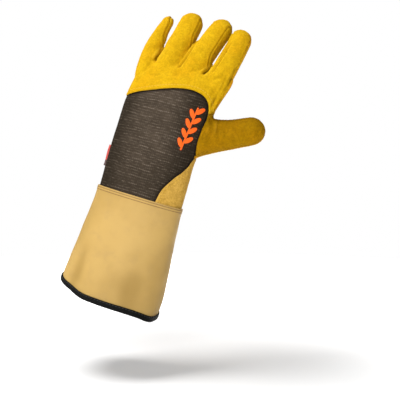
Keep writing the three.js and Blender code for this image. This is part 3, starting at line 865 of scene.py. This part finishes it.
def woven_cloth(name):
    """Dark cloth, rows of short pale dashes broken by the warp, a painted highlight down the middle,
    painted shade at the edges.
    """
    nodes = new_material(name)
    across, up = nodes.along("X"), nodes.along("Z")
    height = nodes.total(up, (0.006, nodes.cloud(30, 2, 0.5)))
    row = nodes.maths("SINE", nodes.times(height, 2 * math.pi / ROW_PITCH))
    strong = nodes.maths("SINE", nodes.times(height, 2 * math.pi / STRONG_PITCH))
    dash = nodes.ramp(nodes.cloud(1, 3, 0.6, (170, 170, 330)), 0.4, 0.6)
    slub = nodes.cloud(1, 3, 0.62, (190, 190, 1100))
    weft = nodes.bands("Z", 400, 0.5)
    warp = nodes.bands("X", 130, 0.8)
    streak = nodes.times(nodes.ramp(row, 0.2, 0.95), dash)
    streak = nodes.times(streak, nodes.ramp(strong, -0.4, 0.9, 0.45, 1))
    streak = nodes.maths("MAXIMUM", streak, nodes.ramp(slub, 0.46, 0.74, 0, 0.42))
    streak = nodes.times(streak, nodes.ramp(warp, 0.1, 0.8, 0.45, 1))
    # A painted highlight down the middle of the panel, weaker low down; it lightens the cloth and its
    # dashes.
    aside = nodes.maths("ABSOLUTE", nodes.maths("SUBTRACT", across, 0.002))
    painted_highlight = nodes.times(nodes.ramp(aside, 0.012, 0.048, 1, 0), nodes.ramp(up, 0.15, 0.2, 0.55, 1))
    streak = nodes.times(streak, nodes.ramp(painted_highlight, 0, 1, 0.5, 1.1))
    tone = nodes.ramp(nodes.cloud(1, 2, 0.5, (40, 40, 60)), 0.35, 0.7, 0.6, 1)
    colour = nodes.layers(
        (0.021, 0.0152, 0.0094),
        (nodes.times(tone, painted_highlight), (0.062, 0.046, 0.032)),
        (nodes.times(streak, 0.65), (0.215, 0.17, 0.132)),
        # Painted shade along the panel's edges, under the lapped leather and by the seams.
        (nodes.ramp(nodes.attribute("seam"), 0.3, 4.5, 0.8, 0), (0.008, 0.006, 0.005)),
        (nodes.attribute("inner"), (0.3, 0.24, 0.18)),
    )
    weave = nodes.times(nodes.total(weft, (0.6, warp)), 0.35)
    return nodes.surface({
        "Base Color": colour,
        "Roughness": 0.9,
        "Specular IOR Level": 0.05,
        "Normal": nodes.bump(nodes.total(weave, (0.8, slub)), 0.0006, 0.6),
    })


def grain_leather(name):
    """Smooth tan leather with fine pores, soft changes of tone and painted shade in dents and stitch
    grooves.
    """
    nodes = new_material(name)
    middle = nodes.cloud(70, 4, 0.55)
    pores = nodes.add("ShaderNodeTexVoronoi", {"Vector": nodes.place(), "Scale": 900})
    colour = nodes.layers(
        (0.51, 0.328, 0.1),
        (nodes.ramp(nodes.cloud(16, 3, 0.5), 0.35, 0.68), (0.43, 0.272, 0.077)),
        (nodes.ramp(middle, 0.45, 0.8, 0, 0.35), (0.38, 0.25, 0.094)),
        # Painted shade in the dents and hollows, and in the grooves of the stitch rows.
        (nodes.ramp(nodes.attribute("relief"), -0.2, -3.0, 0, 0.65), (0.3, 0.18, 0.04)),
        (nodes.ramp(nodes.attribute("seam"), 0.2, 1.25, 0.9, 0), (0.2, 0.1, 0.025)),
        (nodes.attribute("inner"), (0.52, 0.37, 0.17)),
    )
    height = nodes.total(nodes.times(pores, 0.4), (0.7, nodes.cloud(420, 4, 0.6)))
    return nodes.surface({
        "Base Color": colour,
        "Roughness": nodes.ramp(middle, 0.3, 0.7, 0.5, 0.64),
        "Specular IOR Level": 0.2,
        "Normal": nodes.bump(height, 0.00025),
    })


def ribbed_tape(name):
    """Black woven tape with fine ribs across it."""
    nodes = new_material(name)
    rib = nodes.bands("Z", 500, 0.5)
    share = nodes.times(rib, nodes.ramp(nodes.cloud(240, 3, 0.6), 0.3, 0.7, 0.2, 0.9))
    return nodes.surface({
        "Base Color": nodes.layers((0.002, 0.002, 0.002), (share, (0.008, 0.008, 0.007))),
        "Roughness": 0.6,
        "Specular IOR Level": 0.08,
        "Normal": nodes.bump(rib, 0.0002, 0.6),
    })


def label_cloth(name, split_z):
    """Woven tab, black below and red above a height."""
    nodes = new_material(name)
    rib = nodes.bands("Z", 700)
    colour = nodes.layers(
        (0.012, 0.011, 0.011),
        (nodes.maths("GREATER_THAN", nodes.along("Z"), split_z), (0.56, 0.03, 0.022)),
        (nodes.times(rib, 0.25), (0.75, 0.35, 0.3)),
    )
    return nodes.surface({"Base Color": colour, "Roughness": 0.7, "Normal": nodes.bump(rib, 0.0002)})


def raised_print(name):
    """Orange print with a slightly grainy skin."""
    nodes = new_material(name)
    worn = nodes.ramp(nodes.cloud(160, 3, 0.6), 0.5, 0.8, 0, 0.5)
    return nodes.surface({
        "Base Color": nodes.layers((0.95, 0.125, 0.01), (worn, (0.74, 0.08, 0.008))),
        "Roughness": 0.6,
        "Specular IOR Level": 0.15,
        "Normal": nodes.bump(nodes.cloud(900, 3, 0.6), 0.0002),
    })


def sewing_thread(name, colour, dark):
    nodes = new_material(name)
    twist = nodes.bands("DIAGONAL", 900, 1)
    return nodes.surface({
        "Base Color": nodes.layers(colour, (twist, dark)),
        "Roughness": 0.6,
        "Normal": nodes.bump(twist, 0.0001),
    })


YELLOW = (0.63, 0.375, 0.006)
ORANGE = (0.62, 0.31, 0.004)
SHADE = (0.42, 0.232, 0.003)
suede_back = suede("suede_back", YELLOW, ORANGE, SHADE)
# A slightly darker copy of the back's suede, as painted shade between the fingers.
suede_fork_shaded = suede("suede_fork_shaded", (0.6, 0.36, 0.006), (0.56, 0.28, 0.004), (0.38, 0.21, 0.002))
suede_palm = suede("suede_palm", YELLOW, (0.66, 0.235, 0.01), SHADE, blotch_share=1.0, nap=1.4)
# The thumb's olive colour is partly the leather's own tone and partly painted shade.
suede_thumb = suede("suede_thumb", (0.33, 0.168, 0.001), (0.38, 0.17, 0.001), (0.19, 0.096, 0.001), nap=0.6)
suede_strip = suede("suede_strip", (0.6, 0.36, 0.07), (0.54, 0.3, 0.05), (0.36, 0.2, 0.03), nap=0.9)
woven = woven_cloth("woven_back")
tan_leather = grain_leather("tan_leather")
black_tape = ribbed_tape("black_tape")
label_weave = label_cloth("label_weave", (WRIST_Z + LABEL_HEIGHT - 6) * MM)
orange_print = raised_print("orange_print")
gold_thread = sewing_thread("gold_thread", (0.74, 0.46, 0.03), (0.5, 0.28, 0.012))
brown_thread = sewing_thread("brown_thread", (0.24, 0.13, 0.035), (0.13, 0.065, 0.016))
black_thread = sewing_thread("black_thread", (0.02, 0.019, 0.018), (0.008, 0.008, 0.008))


# The hand

LEATHER_WALL = 1.5
CLOTH_LUMPS = 0.35  # share of the leather's lumps that the woven panel has
LAP_ROW = 4.6  # distance of the stitching from a lapped edge
INSEAM_DEPTH = 0.4
INSEAM_RIDGE = 0.55
PUCKER = 5.2  # length of one pucker along a seam
PUCKER_HEIGHT = 0.2
PUCKER_REACH = 2.6
SEAM_REACH = 16.0

# In the order of PIECES.
FINISHES = [suede_palm] * 3 + [suede_back, suede_thumb, suede_strip] + [suede_fork_shaded] * 3 + [woven]


def relief(points, normal):
    """How far soft lumps and folds move the leather outwards, in millimetres."""
    height = lumps_at(points, LEATHER_LUMPS)
    for fold in FOLDS:
        line = [on_palm(share) for share in fold["line"]]
        crease(points, normal, height, fold["side"], line, fold["depth"], fold["width"])
    for index, finger in enumerate([*LONG_FINGERS, THUMB]):
        path, tangents = finger_path(finger)
        for joint in JOINTS:
            for row, offset in enumerate(JOINT_FOLDS):
                at = joint + offset + 0.012 * math.sin(5 * index + 3 * row)
                middle = along_path(path, at)[[0, 2]]
                along = unit(along_path(tangents, at)[[0, 2]])
                across = np.array([along[1], -along[0]]) * finger["width"] * (0.36 - 0.05 * row)
                bend = (-1) ** row * 1.4 * along
                line = [middle - across, middle + bend, middle + across]
                crease(points, normal, height, BACK, line, 0.22, 1.2)
                if row == 1:
                    line = [middle - across * 1.3, middle - bend, middle + across * 1.3]
                    crease(points, normal, height, FRONT, line, 0.8, 1.9)
    return height


def seam_rise(sheet, lumps, seam, lap, is_cloth):
    """How far a piece stands out, from its lumps and its distances to seams and lapped edges."""
    wave = np.sin((sheet[:, 0] + sheet[:, 2]) * (2 * math.pi / PUCKER) + 2.5 * rumple(sheet, 15, 7))
    rise = lumps * smoothstep(seam, -0.5, 3) + PUCKER_HEIGHT * wave * np.exp(-seam / PUCKER_REACH)
    rise += INSEAM_RIDGE * bell(seam, 1.3, 2.3) - INSEAM_DEPTH * bell(seam, 0.75)
    if is_cloth:
        return rise - 0.6 * bell(lap, 4)
    return rise + (0.95 - 0.75 * bell(lap, 0.8)) * bell(lap, 9) - 0.3 * bell(lap, 0.8, LAP_ROW)


def build_hand():
    """The hand's pieces. Returns the outer sheet of each, for what is sewn or printed on it."""
    points, quads, labels = hand_skin()
    height = relief(points, normals_of(points, quads))
    touching = np.zeros((len(points), len(PIECES)), bool)
    for k in range(4):
        touching[quads[:, k], labels] = True
    laps = (KNUCKLES, THUMB_BACK, STRIP)
    made_sheets = {}
    for piece, name in enumerate(PIECES):
        is_cloth = piece == PANEL
        own = quads[labels == piece]
        used = np.unique(own)
        sheet, faces = only_used(points, own)
        partners = touching[used].copy()
        partners[:, piece] = False
        on_lap = partners[:, laps].any(1) if is_cloth else partners[:, PANEL] & (piece in laps)
        lap = distance_to(sheet, sheet[on_lap], SEAM_REACH)
        seam = distance_to(sheet, sheet[partners.any(1) & ~on_lap], SEAM_REACH)
        lumps = height[used] * (CLOTH_LUMPS if is_cloth else 1)
        rise = seam_rise(sheet, lumps, seam, lap, is_cloth)
        sheet = sheet + normals_of(sheet, faces) * rise[:, None]
        made_sheets[piece] = (sheet, faces)
        made = new_mesh(name, *shell(sheet, faces, LEATHER_WALL))
        nearest = np.minimum(seam, lap if is_cloth else np.abs(lap - LAP_ROW) + 0.5)
        inner = np.zeros(len(sheet))
        # seam and relief also drive the painted shade in seams and folds and the painted highlight on
        # ridges.
        set_values(made, "seam", np.concatenate([nearest, inner + SEAM_REACH]))
        set_values(made, "relief", np.concatenate([lumps, inner]))
        set_values(made, "inner", np.concatenate([inner, inner + 1]))
        finish_piece(made, [name], FINISHES[piece])
    return made_sheets


sheets = build_hand()


# The cuff

DENT_SOFTNESS = 0.5
CUFF_STEP = 1.6  # height of a row of faces
STITCH_ROWS = (2.0, 4.9)  # below the cuff's top edge
STITCH_SINK = 0.32  # how deep a row of stitches pulls the leather in


def cuff_dent(at, turn):
    """How far the cuff is pressed in at shares of its height and turns about Z."""
    dent = np.zeros(np.broadcast(at, turn).shape)
    for row in CUFF_DENTS:
        away = (np.degrees(turn) - row["turn"] + 180) % 360 - 180
        dent = dent + row["depth"] * bell(away, row["spread"]) * bell(at, row["height"], row["at"])
    return dent * np.clip(column(CUFF_ROWS, "flare", at), 0, None) ** DENT_SOFTNESS


def cuff_points(at, turn, out):
    """Points of the cuff at shares of its height, turns about Z and distances outside its wall."""
    flare = np.clip(column(CUFF_ROWS, "flare", at), 0, None)
    wrist = PALM_ROWS[0]
    c, s = section(turn, BODY_SQUARENESS)
    wrist_wide = wrist["width"] * PALM_WIDTH / 2 + SEAM_GAP + CUFF_WALL
    wrist_deep = np.where(s < 0, wrist["back"], wrist["front"]) * PALM_DEPTH + SEAM_GAP + CUFF_WALL
    inward = out - cuff_dent(at, turn)
    wide = wrist_wide + (MOUTH_WIDTH / 2 - wrist_wide) * flare + inward
    deep = wrist_deep + (MOUTH_DEPTH / 2 - wrist_deep) * flare + inward
    slant = MOUTH_DROP * column(MOUTH_ROWS, "rise", c) * np.maximum(0, 1 - at * 2)
    x = wrist["middle"] * PALM_WIDTH * (1 - flare) + wide * c
    return np.stack([x, deep * s, at * WRIST_Z + slant], -1)


def swept_ring(profile):
    """A closed band round the cuff from a closed outline of (out, height above the mouth)."""
    out, height = np.array(profile).T
    turn = np.linspace(0, 2 * math.pi, CUFF_SIDES, endpoint=False) + 0.01
    grid = cuff_points((height / WRIST_Z)[:, None], turn[None], out[:, None])
    return grid.reshape(-1, 3), grid_faces(len(profile), CUFF_SIDES, True, True)


def build_cuff():
    rows = [WRIST_Z - below for below in STITCH_ROWS]
    heights = np.arange(BINDING_WALL + SEAM_GAP, WRIST_Z - 0.8, CUFF_STEP)
    heights = np.sort(np.concatenate([heights, *[row + np.array([-0.7, 0, 0.7]) for row in rows]]))
    heights = heights[np.diff(heights, prepend=0) > 0.1]
    outer = HEM_RISE * smoothstep(heights, WRIST_Z - HEM_HEIGHT - 2.2, WRIST_Z - HEM_HEIGHT)
    for row in rows:
        outer = outer - STITCH_SINK * bell(heights, 0.55, row)
    profile = [
        *zip(outer, heights),
        (HEM_RISE - 0.2, WRIST_Z - 0.4),
        (0, WRIST_Z),
        (-CUFF_WALL * 0.6, WRIST_Z),
        (-CUFF_WALL, WRIST_Z - 0.5),
        *[(-CUFF_WALL, height) for height in heights[::-2]],
    ]
    points, faces = swept_ring(profile)
    is_inner = np.repeat(np.arange(len(profile)) >= len(heights) + 2, CUFF_SIDES)
    fade = smoothstep(WRIST_Z - points[:, 2], 6, 30) * smoothstep(points[:, 2], 8, 24)
    lumps = lumps_at(points, CUFF_LUMPS) * fade
    points = points + normals_of(points, faces) * np.where(is_inner, -lumps, lumps)[:, None]
    made = new_mesh("cuff", points, faces)
    height = np.repeat([height for _, height in profile], CUFF_SIDES)
    turn = np.tile(np.linspace(0, 2 * math.pi, CUFF_SIDES, endpoint=False), len(profile))
    row_away = np.min([np.abs(height - row) for row in rows], axis=0)
    # relief drives the painted shade in the cuff's dents, and seam the painted shade in its stitch grooves.
    set_values(made, "relief", np.where(is_inner, 0, lumps - cuff_dent(height / WRIST_Z, turn)))
    set_values(made, "seam", np.where(is_inner, SEAM_REACH, row_away + 0.35))
    set_values(made, "inner", is_inner)
    finish_piece(made, ["cuff"], tan_leather)


def build_binding():
    """Tape folded over the cuff's lower edge, with a rounded foot."""
    outside = SEAM_GAP + BINDING_WALL
    inside_out = -CUFF_WALL - outside
    lining = -CUFF_WALL - 0.15
    middle = (outside + inside_out) / 2
    half = (outside - inside_out) / 2
    arc = np.linspace(0, math.pi, 12)
    rise = np.linspace(BINDING_HEIGHT, half, 6)[1:-1]
    profile = [
        (outside - 0.5, BINDING_HEIGHT + 0.15),
        (outside - 0.05, BINDING_HEIGHT - 0.35),
        *[(outside + 0.12 * math.sin(height / BINDING_HEIGHT * math.pi), height) for height in rise],
        *[(middle + half * math.cos(a), half * (1 - math.sin(a)) * 0.8) for a in arc],
        *[(inside_out, height) for height in rise[::-1]],
        (inside_out + 0.5, BINDING_HEIGHT),
        (lining, BINDING_HEIGHT - 0.2),
        (lining, BINDING_WALL),
        (0.1, BINDING_WALL),
        (0.1, BINDING_HEIGHT - 0.2),
    ]
    made = new_mesh("cuff_binding", *swept_ring(profile[::-1]))
    finish_piece(made, ["cuff_binding"], black_tape)


THREAD_SIDES = 6
THREAD_RADIUS = 0.32
THREAD_LIFT = 0.05
# A stitch from end to end: at is a share of its length and size of its radius.
THREAD_ROWS = table("at size", (-0.5, 0.35), (-0.38, 0.9), (0, 1.0), (0.38, 0.9), (0.5, 0.35))


def stitches(name, runs, material, length=2.5, gap=1.0):
    """Rows of short thread stitches. A run is a line of points with the surface's normals."""
    at = np.array([row["at"] for row in THREAD_ROWS])
    size = np.array([row["size"] for row in THREAD_ROWS])[:, None] * THREAD_RADIUS
    turn = np.linspace(0, 2 * math.pi, THREAD_SIDES, endpoint=False)
    sink = THREAD_LIFT - 0.35 * (2 * at) ** 2 * THREAD_RADIUS
    aside = (size * np.cos(turn))[..., None]
    above = (size * np.sin(turn) * 0.8 + sink[:, None])[..., None]
    ends = np.arange(THREAD_SIDES)
    one = grid_faces(len(at), THREAD_SIDES, round_columns=True)[:, ::-1].tolist()
    one += [ends.tolist(), (len(at) * THREAD_SIDES - 1 - ends).tolist()]
    threads = []
    for line, normals in runs:
        run = run_along(line)
        count = int(run[-1] / (length + gap))
        centres = (np.arange(count) + 0.5) * run[-1] / max(1, count)
        along = unit(at_run(run, line, centres + 0.4) - at_run(run, line, centres - 0.4))
        up = unit(at_run(run, normals, centres))
        vectors = (at_run(run, line, centres), along, up, unit(np.cross(along, up)))
        middle, along, up, side = (vector[:, None, None] for vector in vectors)
        threads.append(middle + along * (at * length)[:, None, None] + side * aside + up * above)
    points = np.concatenate(threads).reshape(-1, 3)
    stride = len(at) * THREAD_SIDES
    faces = [[start + v for v in face] for start in range(0, len(points), stride) for face in one]
    finish_piece(new_mesh(name, points, faces), [], material)


def cuff_row(height, out):
    """A line round the cuff with its normals."""
    turn = np.linspace(0, 2 * math.pi, 361)
    at = np.full(len(turn), height / WRIST_Z)
    line = cuff_points(at, turn, out)
    ahead = cuff_points(at, turn + 0.01, out) - line
    above = cuff_points(at + 0.01, turn, out) - line
    return line, unit(np.cross(ahead, above))


build_cuff()
build_binding()
hem_runs = [cuff_row(WRIST_Z - below, HEM_RISE * 0.6 - 0.1) for below in STITCH_ROWS]
stitches("cuff_stitches", hem_runs, brown_thread)
tape_run = cuff_row(BINDING_HEIGHT - 1.3, SEAM_GAP + BINDING_WALL)
stitches("binding_stitches", [tape_run], black_thread, length=2.8, gap=1.1)


# What is sewn and printed on the hand

SPRIG_FOOT = (0.362, 0.385)  # as PANEL_EDGE's points are
SPRIG_TURN = math.radians(6.5)
LEAF_PAIRS = 4
LEAF_LENGTH = SPRIG_LENGTH / 4.6
LEAF_WIDTH = LEAF_LENGTH * 0.42
LEAF_TILT = math.radians(36)
PRINT_WALL = 0.7


def sheet_tree(piece):
    points, faces = sheets[piece]
    return BVHTree.FromPolygons(points.tolist(), faces.tolist())


def drop_on(tree, x, z):
    """The point of a sheet behind a place on the back, or the nearest one to it, with its normal."""
    place, normal, _, _ = tree.ray_cast(Vector((x, -FAR, z)), Vector((0, 1, 0)), 2 * FAR)
    if place is None:
        place, normal, _, _ = tree.find_nearest(Vector((x, -PALM_DEPTH / 4, z)))
    if normal.y > 0:
        normal.negate()
    return np.array(place), np.array(normal)


def lap_run(piece, first, last):
    """The stitching beside the panel on one piece, between two shares of the panel's edge."""
    count = 240
    line = panel_line(count)
    along = unit(np.gradient(line, axis=0))
    line = line + LAP_ROW * np.stack([-along[:, 1], along[:, 0]], 1)
    tree = sheet_tree(piece)
    hits = [drop_on(tree, x, z) for x, z in line[int(first * count):int(last * count)]]
    return [np.array(values) for values in zip(*[hit for hit in hits if hit[1][1] < -0.25])]


def turned(x, z, angle):
    """A place in the plane of the back, turned towards the thumb."""
    return x * math.cos(angle) + z * math.sin(angle), z * math.cos(angle) - x * math.sin(angle)


def build_sprig():
    """A plain sprig of leaves printed on the panel."""
    tree = sheet_tree(PANEL)
    foot = on_palm(SPRIG_FOOT)
    parts = [dict(low=0, tilt=0, long_steps=40, wide_steps=3)]
    for i in range(LEAF_PAIRS):
        for side, shift in ((-1, 0.35), (1, 0.85)):
            low = (i + shift) * SPRIG_LENGTH / (LEAF_PAIRS + 0.6)
            parts.append(dict(low=low, tilt=LEAF_TILT * side, long_steps=14, wide_steps=6))
    points = []
    faces = []
    for part in parts:
        start = len(points)
        is_leaf = part["tilt"] != 0
        for u in np.linspace(0.02, 0.98, part["long_steps"] + 1):
            wide = LEAF_WIDTH * math.sqrt(u * (1 - u)) if is_leaf else 0.9
            for v in np.linspace(-1, 1, part["wide_steps"] + 1):
                x, z = turned(v * wide, u * (LEAF_LENGTH if is_leaf else SPRIG_LENGTH), part["tilt"])
                x, z = turned(x, z + part["low"], SPRIG_TURN)
                spot, normal = drop_on(tree, foot[0] + x, foot[1] + z)
                points.append(spot + normal * (0.3 + 0.25 * (1 - v**4)))
        faces.append(start + grid_faces(part["long_steps"] + 1, part["wide_steps"] + 1))
    made = new_mesh("panel_sprig", *shell(np.array(points), np.vstack(faces), PRINT_WALL))
    finish_piece(made, ["panel_sprig"], orange_print)


def build_label():
    """A folded tab that stands out of the seam on the little finger's side."""
    low, high = (np.array(corner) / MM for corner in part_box("side_label"))
    reach = 9.5
    thick = 0.55
    half = 0.75  # from the middle of the folded tab to the middle of each half
    tip_x = low[0] + 0.3
    root_x = tip_x + reach
    seam_y = (low[1] + high[1]) / 2
    legs = [(root_x - reach * t, half + 0.15 * math.sin(math.pi * t)) for t in (0, 0.3, 0.6, 0.85)]
    arc = np.linspace(-math.pi / 2, math.pi / 2, 9)
    fold = [(tip_x + 0.8 - 0.8 * math.cos(a), half * math.sin(a)) for a in arc]
    centre = np.array([(x, -y) for x, y in legs] + fold + legs[::-1])
    along = unit(np.gradient(centre, axis=0))
    outline = centre + np.stack([along[:, 1], -along[:, 0]], 1) * thick / 2
    steps = 24
    share = np.linspace(0, 1, steps + 1)[:, None]
    sway = 0.5 * np.sin(2.2 * math.pi * share) * (root_x - centre[:, 0]) / reach
    x = np.broadcast_to(outline[:, 0], sway.shape)
    z = np.broadcast_to(low[2] + (high[2] - low[2]) * share, sway.shape)
    points = np.stack([x, seam_y + outline[:, 1] + sway, z], -1).reshape(-1, 3)
    faces = grid_faces(steps + 1, len(centre))[:, ::-1]
    made = new_mesh("side_label", *shell(points, faces, thick))
    finish_piece(made, ["side_label"], label_weave)


build_sprig()
build_label()
stitches("knuckle_stitches", [lap_run(KNUCKLES, 0.08, 0.5)], gold_thread)
stitches("strip_stitches", [lap_run(STRIP, 0.72, 1.0)], gold_thread)


# Camera, light and floor

FLOOR_DROP = 88.0
FLOOR_RADIUS = 1.5
FLOOR_GLOW = (0.0, 0.88)  # painted light: the floor's glow near the glove and far from it
GLOW_REACH = (0.12, 0.6)  # metres over which the glow grows
GLOW_MIDDLE = 0.067  # metres right of the mouth's middle
WORLD_LIGHT = 0.24

# Round lamps: a place is metres right, up and towards the camera of the mouth's middle.
LIT_PLACE = (0.07, 0.16, 0)
LIGHTS = table(
    "name place size power",
    ("key", (-0.28, 0.5, 1.1), 0.75, 9.0),
    ("top", (-0.45, 1.4, 0.15), 0.65, 17),
    ("fill", (0.45, 0.35, -1.25), 0.9, 6),
)


def picture_axes():
    """Directions in the picture: right, up and towards the camera."""
    back = Vector((
        math.sin(CAMERA_YAW) * math.cos(CAMERA_TILT),
        -math.cos(CAMERA_YAW) * math.cos(CAMERA_TILT),
        math.sin(CAMERA_TILT),
    ))
    right = Vector((math.cos(CAMERA_YAW), math.sin(CAMERA_YAW), 0))
    up = back.cross(right)
    c, s = math.cos(CAMERA_ROLL), math.sin(CAMERA_ROLL)
    return c * right + s * up, c * up - s * right, back


def place_camera():
    right, up, back = picture_axes()
    place = CAMERA_DISTANCE * back - CAMERA_OFFSET[0] * right - CAMERA_OFFSET[1] * up
    data = bpy.data.cameras.new("camera")
    data.lens = CAMERA_LENS
    data.sensor_width = 36
    data.clip_start = 0.01
    camera = link("camera", data)
    turn = Matrix((right, up, back)).transposed()
    camera.matrix_world = Matrix.Translation(place * MM) @ turn.to_4x4()
    bpy.context.scene.camera = camera


def place_lights():
    axes = Matrix(picture_axes()).transposed()
    for light in LIGHTS:
        data = bpy.data.lights.new(light["name"], "AREA")
        data.shape = "DISK"
        data.size = light["size"]
        data.energy = light["power"]
        lamp = link(light["name"], data)
        lamp.location = axes @ Vector(light["place"])
        aim = axes @ Vector(LIT_PLACE) - lamp.location
        lamp.rotation_euler = aim.to_track_quat("-Z", "Y").to_euler()


def build_stage():
    """A pale floor that lies level in the picture, and the studio round it."""
    right, up, back = picture_axes()
    below = -FLOOR_DROP * MM * up
    corners = [below + FLOOR_RADIUS * (math.cos(turn) * right - math.sin(turn) * back)
               for turn in np.linspace(0, 2 * math.pi, 48, endpoint=False)]
    mesh = bpy.data.meshes.new("floor")
    mesh.from_pydata(corners, [], [range(len(corners))])
    floor = link("floor", mesh)
    nodes = new_material("pale_floor")
    tone = nodes.ramp(nodes.cloud(3, 2), 0.3, 0.7)
    # The floor's glow is painted light: none near the glove, growing away from it so the far floor stays
    # white.
    spread = {0: nodes.place(), 1: GLOW_MIDDLE * right + below}
    away = nodes.add("ShaderNodeVectorMath", spread, "Value", operation="DISTANCE")
    floor.data.materials.append(nodes.surface({
        "Base Color": nodes.layers((0.93, 0.93, 0.93), (tone, (0.95, 0.95, 0.95))),
        "Roughness": 0.9,
        "Specular IOR Level": 0.1,
        "Emission Color": (1, 1, 1),
        "Emission Strength": nodes.ramp(away, *GLOW_REACH, *FLOOR_GLOW),
    }))
    world = bpy.data.worlds.new("studio")
    sky = Nodes(world)
    background = sky.tree.nodes["Background"].inputs
    seen = sky.add("ShaderNodeLightPath", {}, "Is Camera Ray")
    sky.put(background["Strength"], sky.ramp(seen, 0, 1, WORLD_LIGHT, 1.0))
    sky.put(background["Color"], (1, 1, 1))
    bpy.context.scene.world = world
    bpy.context.scene.view_settings.view_transform = "Standard"


place_camera()
build_stage()
place_lights()
